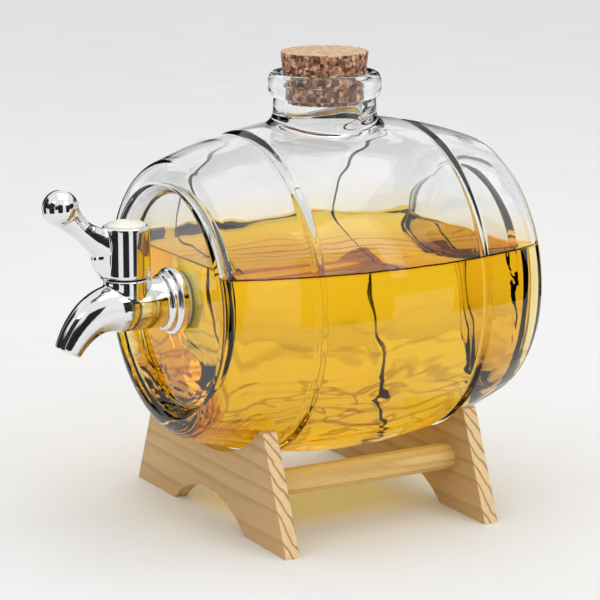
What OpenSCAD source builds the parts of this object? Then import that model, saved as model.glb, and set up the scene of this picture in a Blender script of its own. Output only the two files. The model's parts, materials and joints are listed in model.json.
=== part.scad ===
/* [Barrel] */
// Outside diameter of the glass barrel at its belly
barrel_d = 121; // [105:1:140]
// Length of the barrel over its two rims
barrel_len = 130; // [118:1:150]
// Radius of the belly's curve along the barrel
belly_r = 170; // [150:5:240]
// Radius of the shoulder that turns into each rim
shoulder_r = 8; // [6:0.5:11]
// Depth of each flat head below its rim
head_recess = 6; // [3:0.5:7]
// Width of the step from a rim's crest down to its flat head
rim_step = 4.6; // [3.6:0.1:12]
// Thickness of the glass
glass_t = 3.2; // [2.4:0.1:4]
// Distance of each hoop groove from the middle of the barrel
groove_at = 33.5; // [28:0.5:40]
// Width of each hoop groove
groove_w = 5; // [3:0.5:8]
// Depth of each hoop groove
groove_depth = 1.1; // [0.4:0.1:1.5]

/* [Neck and cork] */
// Outside diameter of the neck
neck_d = 37; // [35:0.5:42]
// Height of the lip above the top of the belly
neck_h = 16.5; // [14:0.5:24]
// How far the rolled lip stands out round the neck
lip_overhang = 1.8; // [1:0.1:3]
// Height of the rolled lip
lip_h = 9; // [6:0.5:10]
// Radius of the fillet where the neck leaves the belly
neck_fillet = 4; // [2:0.5:6]
// Diameter of the cork at its top
cork_top_d = 31.6; // [29:0.2:33]
// Height of the cork
cork_h = 18.5; // [16:0.5:22]
// Diameter that the cork loses from top to bottom
cork_taper = 4.4; // [2:0.2:6]
// Part of the cork that stands out of the lip
cork_proud = 7.5; // [5:0.5:10]
// Gap between the cork and the neck
cork_gap = 0.2; // [0.1:0.05:0.4]

/* [Stand] */
// Height of the belly above the table
belly_clearance = 21; // [17:0.5:30]
// Width of a cradle across its feet
cradle_w = 115; // [105:1:128]
// Lean of a cradle's sides, in degrees
side_lean = 21.7; // [16:0.1:26]
// Thickness of a cradle
cradle_t = 5.5; // [4.5:0.5:9]
// Distance between the middles of the two cradles
cradle_spacing = 81.5; // [70:0.5:92]
// Distance of the barrel's middle behind the stand's middle
setback = 4.5; // [0:0.5:7]
// How much flatter than the glass a saddle's curve is, in radius
saddle_ease = 2.4; // [0.5:0.1:5]
// Gap between the glass and the lowest line of a saddle
saddle_gap = 0.3; // [0.2:0.05:0.6]
// Radius of the rounded horn at each end of a saddle
horn_r = 1.8; // [1:0.1:2.5]
// Width of the arch between the feet
arch_w = 55; // [44:1:60]
// Height of the arch between the feet
arch_h = 10.8; // [7:0.2:13]
// Diameter of a rail
rail_d = 9.5; // [8:0.5:11]
// Distance of a rail from the middle of the stand
rail_x = 32.5; // [28:0.5:36]
// Height of a rail above the table
rail_z = 19.5; // [18:0.5:22]
// Depth of the blind hole that a rail is glued into
socket_depth = 3.5; // [2.5:0.1:4]
// Glue gap round a rail and at its end
glue_gap = 0.05; // [0.02:0.01:0.1]

/* [Tap body] */
// Diameter of the tap's flange
flange_d = 24; // [22:0.5:28]
// Thickness of the flange
flange_t = 3.4; // [2:0.2:4]
// Diameter of the step in front of the flange
step_d = 20.5; // [19:0.1:21.5]
// Thickness of that step
step_t = 2.4; // [1:0.2:3]
// Diameter of the tap's body
body_d = 17.5; // [17:0.1:18.8]
// Distance of the valve's axis in front of the flange's back
valve_reach = 19; // [15:0.2:22]
// Diameter of the upright valve housing
housing_d = 16.2; // [15.5:0.1:17]
// Height of the housing's top above the tap's axis
housing_h = 10.2; // [9.8:0.1:13]
// Distance of the spout's mouth in front of the valve's axis
spout_reach = 23.1; // [22:0.1:30]
// Drop of the spout's mouth below the tap's axis
spout_drop = 14; // [12:0.5:20]
// Slope of the spout at its mouth, in degrees
spout_slope = 63.5; // [55:0.5:75]
// Outside diameter of the spout's mouth
mouth_d = 9.6; // [8.6:0.2:11]
// Diameter of the spout's bore
spout_bore_d = 6; // [4.6:0.1:6.6]
// Diameter of the way through the shank and the plug
passage_d = 5.5; // [4.5:0.1:6]

/* [Tap fixing] */
// Diameter of the shank that passes through the glass
shank_d = 12.6; // [11:0.2:14]
// Gap between the shank and the hole in the glass
hole_gap = 0.4; // [0.3:0.05:0.8]
// Gap between the shank and the rings on it
ring_gap = 0.05; // [0.02:0.01:0.1]
// Diameter of each silicone gasket
gasket_d = 21; // [19:0.5:24]
// Thickness of each gasket when it is squeezed
gasket_t = 1.2; // [0.8:0.1:2]
// Diameter of the washer behind the nut
washer_d = 20; // [18:0.5:23]
// Thickness of the washer
washer_t = 1; // [0.6:0.1:1.6]
// Size of the nut across its flats
nut_af = 19; // [18:0.5:21]
// Thickness of the nut
nut_t = 6; // [4:0.5:8]
// Length of shank that shows past the nut
shank_proud = 1.5; // [0.5:0.5:3]

/* [Valve] */
// Diameter of the plug that turns in the housing
plug_d = 9; // [8.4:0.1:9.6]
// Running gap round the plug and its stem
running_gap = 0.05; // [0.02:0.01:0.09]
// Depth of the plug below the tap's axis
plug_depth = 6.2; // [6:0.1:6.6]
// Diameter of the plug's stem
stem_d = 6; // [5:0.1:6.6]
// Width across the stem's two flats
stem_flats = 4.6; // [4:0.1:4.9]
// Section of each sealing ring
seal_w = 1.4; // [1:0.1:1.6]
// Diameter of the ring that keeps the plug in
bonnet_d = 12; // [10.6:0.1:12.6]
// Thickness of that ring
bonnet_t = 3; // [2:0.1:3.2]

/* [Handle] */
// Diameter of the handle's drum
drum_d = 16.7; // [16:0.1:19]
// Height of the handle's drum
drum_h = 18.2; // [15:0.2:20]
// Gap between the drum and the housing below it
drum_gap = 0.4; // [0.3:0.05:0.8]
// Diameter of the domed button in the drum's top
button_d = 14; // [12:0.2:14.6]
// Thickness of the button at its edge
button_t = 1.8; // [1.2:0.1:2.4]
// Rise of the button's dome
button_rise = 1.6; // [0.8:0.1:2.4]
// Distance of the knob from the valve's axis
knob_reach = 24.6; // [23:0.1:32]
// Height of the knob above the drum's foot
knob_rise = 26.4; // [24:0.2:32]
// Diameter of the knob
knob_d = 12.6; // [11:0.2:14]
// Height of the lever's arm
arm_h = 8.4; // [8:0.2:10.4]
// Thickness of the lever's arm
arm_t = 7.6; // [6:0.2:9]
// Diameter of the handle's screw
screw_d = 3; // [2.5:0.1:3.4]
// Diameter of the screw's head
screw_head_d = 5.4; // [5:0.1:6]
// Height of the screw's head
screw_head_h = 2; // [1.4:0.1:2.4]
// Length of the screw's thread in the stem
screw_len = 8; // [6:0.5:10]

/* [Hidden] */
$fn = 64;

// Colours of the materials
pine = [0.80, 0.66, 0.47];
beech = [0.90, 0.74, 0.46];
clear_glass = [0.85, 0.92, 0.93, 0.45];
cork_brown = [0.66, 0.47, 0.33];
chrome = [0.80, 0.81, 0.83];
ivory = [0.93, 0.92, 0.86];
black_rubber = [0.10, 0.10, 0.11];
white_silicone = [0.88, 0.88, 0.86];
white_plastic = [0.90, 0.90, 0.88];
steel = [0.66, 0.67, 0.69];

// Room that a cut runs past the faces it opens
past = 1;
// Small chamfer on turned edges
ease = 0.5;

// The barrel's shape: the belly's arc, then the shoulder's arc, then the step down to the flat head
half_len = barrel_len / 2;
axis_h = belly_clearance + barrel_d / 2;
belly_centre = barrel_d / 2 - belly_r;
shoulder_mid = half_len - shoulder_r;
shoulder_turn = asin(shoulder_mid / (belly_r - shoulder_r));
rim_r = belly_centre + (belly_r - shoulder_r) * cos(shoulder_turn);
head_r = rim_r - rim_step;
head_y = half_len - head_recess;
plain_steps = 6;
groove_steps = 8;
shoulder_steps = 8;
rim_steps = 8;

// The neck and the cork stand on the middle of the belly, measured from the barrel's axis
lip_top = barrel_d / 2 + neck_h;
cork_bottom = lip_top + cork_proud - cork_h;
cork_bottom_d = cork_top_d - cork_taper;
lip_d = neck_d + 2 * lip_overhang;
mouth_bore_d = cork_bottom_d + cork_taper * (cork_h - cork_proud) / cork_h + 2 * cork_gap;

// The tap, measured from the barrel's middle
flange_y = -head_y - gasket_t;
valve_y = flange_y - valve_reach;
gasket_in_y = -head_y + glass_t;
washer_y = gasket_in_y + gasket_t;
nut_y = washer_y + washer_t;
shank_end_y = nut_y + nut_t + shank_proud;
bore_d = plug_d + 2 * running_gap;
plug_top = housing_h - bonnet_t - 2 * running_gap;
seal_low = -(passage_d / 2 + (plug_depth - passage_d / 2) / 2);
seal_high = (passage_d / 2 + plug_top) / 2;
drum_foot = housing_h + drum_gap;
drum_top = drum_foot + drum_h;
button_seat = drum_top - button_t;
head_seat = button_seat - screw_head_h - running_gap;
spout_root = body_d / 4;
spout_bend = spout_reach - spout_drop / tan(spout_slope);

// The cradles' places and the barrel's middle, with the origin under the middle of the whole
front_y = -setback - cradle_spacing / 2;
rear_y = -setback + cradle_spacing / 2;
origin_y = (half_len + valve_y - knob_reach - knob_d / 2) / 2;

// Turns a shape that stands on Z so that Z points to the back
module backwards() {
    rotate([-90, 0, 0]) children();
}

// Turns a shape that stands on Z so that Z points to the front
module forwards() {
    rotate([90, 0, 0]) children();
}

// Moves a shape from the barrel's axis to its place over the table
module on_axis() {
    translate([0, -origin_y, axis_h]) children();
}

// Moves a shape from the valve's axis to its place
module on_valve() {
    on_axis() translate([0, valve_y, 0]) children();
}

// A flat ring of an outside and an inside diameter
module ring(outer_d, inner_d, height) {
    difference() {
        cylinder(d = outer_d, h = height);
        translate([0, 0, -past]) cylinder(d = inner_d, h = height + 2 * past);
    }
}

// Radius of the belly at a distance from the barrel's middle, at a depth below its surface
function belly(t, depth) = belly_centre + sqrt(pow(belly_r - depth, 2) - t * t);

// Depth of the hoop groove at a distance from the barrel's middle
function groove(t) = abs(t - groove_at) > groove_w / 2 ? 0
    : groove_depth * (1 + cos(360 * (t - groove_at) / groove_w)) / 2;

// Depth of the step below the rim's crest at a radius
function step_depth(r) = head_recess * (1 + cos(180 * (r - head_r) / rim_step)) / 2;

// Evenly spaced places from one place up to the next
function places(first, next, steps) = [for (i = [0 : steps - 1]) first + (next - first) * i / steps];

// Where one half of the belly's profile has its points: few on the plain curve and more in the groove
function belly_places(join, has_groove) = concat(has_groove
    ? concat(places(0, groove_at - groove_w / 2, plain_steps),
        places(groove_at - groove_w / 2, groove_at + groove_w / 2, groove_steps),
        places(groove_at + groove_w / 2, join, plain_steps))
    : places(0, join, 2 * plain_steps), [join]);

// One end of the barrel's profile, from its middle to the head, at a depth below the outside
function barrel_end(depth, has_groove) = let (join = (belly_r - depth) * sin(shoulder_turn)) concat(
    [for (t = belly_places(join, has_groove)) [belly(t, depth) - (has_groove ? groove(t) : 0), t]],
    [for (i = [1 : shoulder_steps]) let (a = shoulder_turn + (90 - shoulder_turn) * i / shoulder_steps)
        [rim_r + (shoulder_r - depth) * sin(90 - a), shoulder_mid + (shoulder_r - depth) * sin(a)]],
    [for (i = [1 : rim_steps]) let (r = rim_r - rim_step * i / rim_steps)
        [r, half_len - step_depth(r) - depth]],
    [[0, head_y - depth]]);

// The solid of the barrel at a depth below its outside
module barrel_solid(depth, has_groove) {
    back_end = barrel_end(depth, has_groove);
    front_end = [for (i = [len(back_end) - 1 : -1 : 1]) [back_end[i][0], -back_end[i][1]]];
    backwards() rotate_extrude() polygon(concat(back_end, front_end));
}

// The neck's outside, with its fillet at the belly and its rolled lip
module neck_solid() {
    foot_r = neck_d / 2 + neck_fillet;
    foot_z = sqrt(pow(barrel_d / 2, 2) - pow(foot_r, 2));
    fillet = [for (a = [0 : 15 : 90])
        [foot_r - neck_fillet * sin(a), foot_z + neck_fillet * (1 - cos(a))]];
    lip_mid = (mouth_bore_d + lip_d) / 4;
    lip_half = (lip_d - mouth_bore_d) / 4;
    fullness = 0.75;
    lip = [for (a = [-90 : 10 : 90])
        [lip_mid + lip_half * pow(cos(a), fullness),
            lip_top - lip_h / 2 + lip_h / 2 * sign(a) * pow(abs(sin(a)), fullness)]];
    rotate_extrude() polygon(concat([[0, foot_z - glass_t], [foot_r, foot_z - glass_t]], fillet,
        [[neck_d / 2, lip_top - lip_h / 2], [0, lip_top - lip_h / 2]]));
    rotate_extrude() polygon(concat([[0, lip_top - lip_h]], lip, [[0, lip_top]]));
}

// The way down the neck, which follows the cork and then runs straight into the barrel
module neck_bore() {
    bottom_r = cork_bottom_d / 2 + cork_gap;
    top_r = cork_top_d / 2 + cork_gap;
    rotate_extrude() polygon([[0, 0], [bottom_r, 0], [bottom_r, cork_bottom],
        [top_r, cork_bottom + cork_h], [0, cork_bottom + cork_h]]);
}

// The blown glass barrel: hoop grooves, flat heads inside their rims, the neck and the hole for the tap
module glass_barrel() {
    color(clear_glass) on_axis() difference() {
        union() {
            barrel_solid(0, true);
            neck_solid();
        }
        barrel_solid(glass_t, false);
        neck_bore();
        translate([0, -half_len, 0]) backwards() cylinder(d = shank_d + 2 * hole_gap, h = half_len);
    }
}

// The tapered cork, with its edges eased
module cork_stopper() {
    top_r = cork_top_d / 2;
    bottom_r = cork_bottom_d / 2;
    color(cork_brown) on_axis() translate([0, 0, cork_bottom]) rotate_extrude()
        polygon([[0, 0], [bottom_r - ease, 0], [bottom_r, ease], [top_r, cork_h - ease],
            [top_r - ease, cork_h], [0, cork_h]]);
}

// The centre of a rounded horn, which touches the cradle's side and the saddle
function horn_centre(saddle_r, saddle_z) = let (
    up = [-sin(side_lean), cos(side_lean)],
    inwards = [-cos(side_lean), -sin(side_lean)],
    start = [cradle_w / 2, -saddle_z] + horn_r * inwards,
    along = start * up,
    height = -along - sqrt(along * along - start * start + pow(saddle_r + horn_r, 2)))
    [cradle_w / 2, 0] + horn_r * inwards + height * up;

// One upright board: sloping sides, two horns, a saddle and an arch between its feet
module cradle_outline(saddle_r) {
    saddle_z = axis_h + saddle_ease - saddle_gap;
    horn = horn_centre(saddle_r, saddle_z);
    to_saddle = [0, saddle_z] - horn;
    horn_turn = atan2(to_saddle[1], to_saddle[0]) - side_lean;
    horn_steps = 12;
    arch_r = (pow(arch_w / 2, 2) + pow(arch_h, 2)) / (2 * arch_h);
    right = concat([[cradle_w / 2, 0]],
        [for (i = [0 : horn_steps - 1]) let (a = side_lean + horn_turn * i / horn_steps)
            horn + horn_r * [cos(a), sin(a)]],
        [horn + to_saddle / 4]);
    left = [for (i = [len(right) - 1 : -1 : 0]) [-right[i][0], right[i][1]]];
    difference() {
        polygon(concat(right, left));
        translate([0, saddle_z]) circle(r = saddle_r, $fn = 128);
        translate([0, arch_h - arch_r]) circle(r = arch_r, $fn = 128);
    }
}

// A cradle at a place along the barrel, with its two blind sockets on the face that looks inwards
module cradle(mid_y, inwards) {
    inner_y = mid_y + inwards * cradle_t / 2;
    color(pine) translate([0, -origin_y, 0]) difference() {
        translate([0, mid_y + cradle_t / 2, 0]) rotate([90, 0, 0]) linear_extrude(cradle_t)
            cradle_outline(belly(abs(inner_y), 0) + saddle_ease);
        for (x = [-rail_x, rail_x]) translate([x, inner_y, rail_z]) rotate([90 * inwards, 0, 0])
            translate([0, 0, -past]) cylinder(d = rail_d + 2 * glue_gap, h = socket_depth + past);
    }
}

module front_cradle() {
    cradle(front_y, 1);
}

module rear_cradle() {
    cradle(rear_y, -1);
}

// A turned rail, glued into both cradles
module rail(x) {
    reach = cradle_spacing / 2 - cradle_t / 2 + socket_depth - glue_gap;
    color(beech) translate([x, -origin_y - setback - reach, rail_z]) backwards()
        cylinder(d = rail_d, h = 2 * reach);
}

module left_rail() {
    rail(-rail_x);
}

module right_rail() {
    rail(rail_x);
}

// A point of the spout's middle line, forwards and up from the valve's axis, for s from 0 to 1
function spout_at(s) = [pow(1 - s, 2) * spout_root + 2 * s * (1 - s) * spout_bend + s * s * spout_reach,
    -s * s * spout_drop];

// The direction of the spout's middle line
function spout_way(s) = let (d = [(1 - s) * (spout_bend - spout_root) + s * (spout_reach - spout_bend),
    -s * spout_drop]) d / norm(d);

// A round bar along the spout's middle line that tapers from one radius to another
module spout_bar(s_first, s_last, r_first, r_last, sides, steps) {
    rings = [for (i = [0 : steps]) let (
        f = i / steps,
        s = s_first + (s_last - s_first) * f,
        r = r_first + (r_last - r_first) * f,
        mid = spout_at(s),
        way = spout_way(s))
        [for (k = [0 : sides - 1]) let (a = 360 * k / sides)
            [r * cos(a), -mid[0] + r * sin(a) * way[1], mid[1] + r * sin(a) * way[0]]]];
    points = [for (one = rings) for (p = one) p];
    walls = [for (i = [0 : steps - 1]) for (k = [0 : sides - 1]) let (
        a = i * sides + k,
        b = i * sides + (k + 1) % sides)
        each [[a, a + sides, b + sides], [a, b + sides, b]]];
    first = [for (k = [0 : sides - 1]) k];
    last = [for (k = [sides - 1 : -1 : 0]) steps * sides + k];
    polyhedron(points, concat([first], walls, [last]));
}

// The tap's body: flange, step, body, shank, upright housing and tapered spout, drilled through
module tap_body() {
    body_r = body_d / 2;
    nose = valve_reach + spout_root;
    spout_start = -0.1;
    color(chrome) on_valve() difference() {
        union() {
            translate([0, valve_reach, 0]) forwards() rotate_extrude() polygon([[0, 0],
                [flange_d / 2, 0], [flange_d / 2, flange_t - ease], [flange_d / 2 - ease, flange_t],
                [step_d / 2, flange_t], [step_d / 2, flange_t + step_t - ease],
                [step_d / 2 - ease, flange_t + step_t], [body_r, flange_t + step_t],
                [body_r, nose], [0, nose]]);
            translate([0, valve_reach - ease, 0]) backwards()
                cylinder(d = shank_d, h = shank_end_y - flange_y + ease);
            cylinder(d = housing_d, h = housing_h);
            spout_bar(spout_start, 1, body_r - running_gap, mouth_d / 2, 28, 12);
        }
        translate([0, 0, -plug_depth - 2 * running_gap]) cylinder(d = bore_d, h = housing_h + plug_depth + past);
        translate([0, 0, housing_h - bonnet_t]) cylinder(d = bonnet_d + 2 * ring_gap, h = bonnet_t + past);
        translate([0, shank_end_y - valve_y + past, 0]) forwards()
            cylinder(d = passage_d, h = shank_end_y - valve_y + past);
        spout_bar(-0.3, 1.1, passage_d / 2, spout_bore_d / 2, 20, 12);
    }
}

// A silicone gasket on the shank
module gasket(front) {
    color(white_silicone) on_axis() translate([0, front, 0]) backwards()
        ring(gasket_d, shank_d + 2 * ring_gap, gasket_t);
}

module outer_gasket() {
    gasket(flange_y);
}

module inner_gasket() {
    gasket(gasket_in_y);
}

module shank_washer() {
    color(steel) on_axis() translate([0, washer_y, 0]) backwards()
        ring(washer_d, shank_d + 2 * ring_gap, washer_t);
}

// The six-sided nut that draws the flange and the gaskets together
module shank_nut() {
    color(white_plastic) on_axis() translate([0, nut_y, 0]) backwards() difference() {
        cylinder(d = nut_af / cos(30), h = nut_t, $fn = 6);
        translate([0, 0, -past]) cylinder(d = shank_d + 2 * ring_gap, h = nut_t + 2 * past);
    }
}

// The ring in the housing's mouth that keeps the plug down
module bonnet_ring() {
    color(chrome) on_valve() translate([0, 0, housing_h - bonnet_t])
        ring(bonnet_d, stem_d + 2 * running_gap, bonnet_t);
}

// The plug's stem, round with two flats
module stem(gap, height) {
    intersection() {
        cylinder(d = stem_d + 2 * gap, h = height);
        translate([-stem_flats / 2 - gap, -stem_d, 0]) cube([stem_flats + 2 * gap, 2 * stem_d, height]);
    }
}

// The plug: a turned drum with two seal grooves, its way through at rest across the flow, and its stem
module valve_plug() {
    color(white_plastic) on_valve() difference() {
        union() {
            translate([0, 0, -plug_depth]) cylinder(d = plug_d, h = plug_depth + plug_top);
            cylinder(d = stem_d, h = drum_foot);
            translate([0, 0, drum_foot]) stem(0, head_seat - drum_foot - ease);
        }
        for (z = [seal_low, seal_high]) translate([0, 0, z - seal_w / 2])
            ring(plug_d + past, plug_d - 2 * seal_w, seal_w);
        translate([-plug_d, 0, 0]) rotate([0, 90, 0]) cylinder(d = passage_d, h = 2 * plug_d);
        translate([0, 0, head_seat - screw_len - ease]) cylinder(d = screw_d, h = screw_len + past);
    }
}

// A rubber sealing ring in one of the plug's grooves
module seal(z) {
    color(black_rubber) on_valve() translate([0, 0, z]) rotate_extrude()
        translate([plug_d / 2 - seal_w / 2, 0]) circle(d = seal_w);
}

module upper_seal() {
    seal(seal_high);
}

module lower_seal() {
    seal(seal_low);
}

// A rounded lump of the lever's arm at a place forwards and up from the drum's foot
module arm_lump(reach, rise, height) {
    translate([0, -reach, drum_foot + rise]) scale([arm_t / height, 1, 1]) sphere(d = height, $fn = 32);
}

// The lever's arm, which leaves the whole height of the drum and rises to the knob
module arm() {
    root_reach = drum_d / 2 - arm_t / 3;
    mid_reach = knob_reach * 0.56;
    mid_rise = knob_rise * 0.53;
    hull() {
        translate([0, -root_reach, drum_foot + ease]) cylinder(d = arm_t, h = drum_h - 3 * ease, $fn = 32);
        arm_lump(mid_reach, mid_rise, arm_h);
    }
    hull() {
        arm_lump(mid_reach, mid_rise, arm_h);
        arm_lump((mid_reach + knob_reach) / 2, mid_rise + (knob_rise - mid_rise) * 0.42, arm_h);
        arm_lump(knob_reach, knob_rise, arm_h);
    }
}

// The handle: a drum on the stem, its lever and the knob at the lever's end
module tap_handle() {
    drum_r = drum_d / 2;
    color(chrome) on_valve() difference() {
        union() {
            translate([0, 0, drum_foot]) rotate_extrude() polygon([[0, 0], [drum_r, 0],
                [drum_r, drum_h - 2 * ease], [drum_r - ease / 2, drum_h - ease / 2],
                [drum_r - 2 * ease, drum_h], [0, drum_h]]);
            arm();
            translate([0, -knob_reach, drum_foot + knob_rise]) sphere(d = knob_d);
        }
        translate([0, 0, drum_foot - past]) stem(ring_gap, head_seat - drum_foot - ease + past);
        translate([0, 0, drum_foot]) cylinder(d = screw_d + 2 * ring_gap, h = drum_h);
        translate([0, 0, head_seat]) cylinder(d = screw_head_d + 2 * ring_gap, h = drum_h);
        translate([0, 0, button_seat]) cylinder(d = button_d + 2 * ring_gap, h = drum_h);
    }
}

// The screw that holds the handle on the stem, with a rounded head
module handle_screw() {
    screw_head_r = screw_head_d / 2;
    color(steel) on_valve() translate([0, 0, head_seat]) {
        translate([0, 0, -screw_len]) cylinder(d = screw_d, h = screw_len);
        rotate_extrude() polygon([[0, 0], [screw_head_r, 0], [screw_head_r, screw_head_h / 2],
            [screw_head_r - ease, screw_head_h], [0, screw_head_h]]);
    }
}

// The domed button that hides the screw
module handle_button() {
    button_r = button_d / 2;
    dome = [for (a = [0 : 10 : 90]) [button_r * cos(a), button_t + button_rise * sin(a)]];
    color(ivory) on_valve() translate([0, 0, button_seat]) rotate_extrude()
        polygon(concat([[0, 0], [button_r, 0]], dome));
}

front_cradle();
rear_cradle();
left_rail();
right_rail();
glass_barrel();
cork_stopper();
tap_body();
outer_gasket();
inner_gasket();
shank_washer();
shank_nut();
bonnet_ring();
valve_plug();
upper_seal();
lower_seal();
tap_handle();
handle_screw();
handle_button();
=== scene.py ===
import json
import math

import bmesh
import bpy
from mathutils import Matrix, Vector

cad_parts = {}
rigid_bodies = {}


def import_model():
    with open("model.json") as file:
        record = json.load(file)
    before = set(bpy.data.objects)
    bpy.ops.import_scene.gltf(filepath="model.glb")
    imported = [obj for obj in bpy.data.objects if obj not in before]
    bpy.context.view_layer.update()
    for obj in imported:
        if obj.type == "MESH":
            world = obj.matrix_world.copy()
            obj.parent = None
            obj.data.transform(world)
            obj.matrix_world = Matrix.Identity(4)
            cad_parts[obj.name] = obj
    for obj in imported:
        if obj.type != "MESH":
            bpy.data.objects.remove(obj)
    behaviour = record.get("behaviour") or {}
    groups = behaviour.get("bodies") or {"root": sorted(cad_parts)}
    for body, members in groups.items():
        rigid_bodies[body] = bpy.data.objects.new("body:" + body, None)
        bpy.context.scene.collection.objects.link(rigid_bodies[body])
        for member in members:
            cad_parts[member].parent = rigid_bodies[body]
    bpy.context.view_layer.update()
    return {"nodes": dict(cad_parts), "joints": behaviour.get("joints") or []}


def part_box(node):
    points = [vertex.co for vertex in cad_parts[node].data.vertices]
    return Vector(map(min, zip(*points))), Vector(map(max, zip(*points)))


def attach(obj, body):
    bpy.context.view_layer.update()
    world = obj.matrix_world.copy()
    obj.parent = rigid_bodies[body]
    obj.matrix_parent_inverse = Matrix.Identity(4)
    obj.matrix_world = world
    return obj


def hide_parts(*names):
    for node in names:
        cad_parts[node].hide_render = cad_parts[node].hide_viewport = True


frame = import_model()

# Cradles: two upright boards of planed pine, sawn to a saddle at the top and an arch at the foot.
# Their edges are eased with sandpaper and they are finished with a thin coat of clear oil.

mm = 0.001
merge_gap = 0.001 * mm


def pick(*pieces):
    """Goes back to object mode with only these pieces selected, the last one active."""
    if bpy.context.mode != "OBJECT":
        bpy.ops.object.mode_set(mode="OBJECT")
    bpy.ops.object.select_all(action="DESELECT")
    for piece in pieces:
        piece.select_set(True)
        bpy.context.view_layer.objects.active = piece


def edit(piece):
    """Opens a piece in edit mode with all of it selected."""
    pick(piece)
    bpy.ops.object.mode_set(mode="EDIT")
    bpy.ops.mesh.select_all(action="SELECT")


def modify(piece, kind, **settings):
    """Adds a modifier to a piece and applies it."""
    pick(piece)
    made = piece.modifiers.new(kind.lower(), kind)
    for name, value in settings.items():
        setattr(made, name, value)
    bpy.ops.object.modifier_apply(modifier=made.name)


def smooth_shade(piece, angle=35):
    """Shades a piece smooth, with its edges over an angle left sharp."""
    pick(piece)
    bpy.ops.object.shade_smooth_by_angle(angle=math.radians(angle))


def copy_of(node, name):
    """A copy of a CAD node's solid, with its loose triangles joined into whole faces."""
    piece = bpy.data.objects.new(name, frame["nodes"][node].data.copy())
    bpy.context.collection.objects.link(piece)
    piece.data.materials.clear()
    edit(piece)
    bpy.ops.mesh.remove_doubles(threshold=merge_gap)
    bpy.ops.mesh.dissolve_limited(angle_limit=math.radians(0.5))
    return piece


def fit(piece, material, body, slot, *nodes):
    """Gives a finished piece its material and its body, and hides the nodes that it stands for. Its slot is
    not used.
    """
    pick(piece)
    piece.data.materials.clear()
    piece.data.materials.append(material)
    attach(piece, body)
    if nodes:
        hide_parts(*nodes)


def new_material(name):
    """A new material with its node tree and its main shader."""
    made = bpy.data.materials.new(name)
    made.use_nodes = True
    return made, made.node_tree, made.node_tree.nodes["Principled BSDF"]


def add(tree, kind, settings=None, **sockets):
    """Adds a shader node. A socket is named with _ for a space, or as in0, in1 by its number."""
    made = tree.nodes.new("ShaderNode" + kind)
    for name, value in (settings or {}).items():
        setattr(made, name, value)
    for name, value in sockets.items():
        by_number = name.startswith("in") and name[2:].isdigit()
        socket = made.inputs[int(name[2:])] if by_number else made.inputs[name.replace("_", " ")]
        if isinstance(value, bpy.types.NodeSocket):
            tree.links.new(value, socket)
        else:
            socket.default_value = value
    return made


def ramp(tree, value, *stops):
    """Turns a value into a colour, from stops of a place and a colour."""
    made = add(tree, "ValToRGB", Fac=value)
    elements = made.color_ramp.elements
    while len(elements) < len(stops):
        elements.new(1.0)
    for element, (place, colour) in zip(elements, stops):
        element.position = place
        element.color = (*colour, 1.0)
    return made.outputs["Color"]


def fade(tree, value, first, last, start=0.0, end=1.0, kind="LINEAR"):
    """A share that goes from a start to an end as a value goes from its first to its last."""
    made = add(tree, "MapRange", {"interpolation_type": kind}, Value=value, From_Min=first, From_Max=last,
               To_Min=start, To_Max=end)
    return made.outputs[0]


def mixed(tree, share, first, second, blend="MIX"):
    """Mixes two colours by a share."""
    made = add(tree, "Mix", {"data_type": "RGBA", "blend_type": blend}, in0=share, in6=first, in7=second)
    return made.outputs[2]


def in_mm(tree, centre=(0, 0, 0), stretch=(1, 1, 1)):
    """The piece's own coordinates in millimetres about a centre, stretched along the axes."""
    coords = add(tree, "TexCoord").outputs["Object"]
    moved = add(tree, "VectorMath", {"operation": "SUBTRACT"}, in0=coords, in1=centre)
    scaled = add(tree, "VectorMath", {"operation": "MULTIPLY"}, in0=moved.outputs[0])
    scaled.inputs[1].default_value = [s / mm for s in stretch]
    return scaled.outputs[0]


def facing(tree, axis):
    """How far a surface faces along an axis, either way, from 0 to 1."""
    normal = add(tree, "SeparateXYZ", Vector=add(tree, "NewGeometry").outputs["Normal"])
    return add(tree, "Math", {"operation": "ABSOLUTE"}, in0=normal.outputs[axis]).outputs[0]


def bump(tree, shader, height, strength, distance):
    """Puts a height on a shader as a bump, its distance in millimetres."""
    made = add(tree, "Bump", Strength=strength, Distance=distance * mm, Height=height)
    tree.links.new(made.outputs["Normal"], shader.inputs["Normal"])


# The gap between the bands of a wave texture at a scale of 1.
wave_period = math.tau / 20


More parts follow.
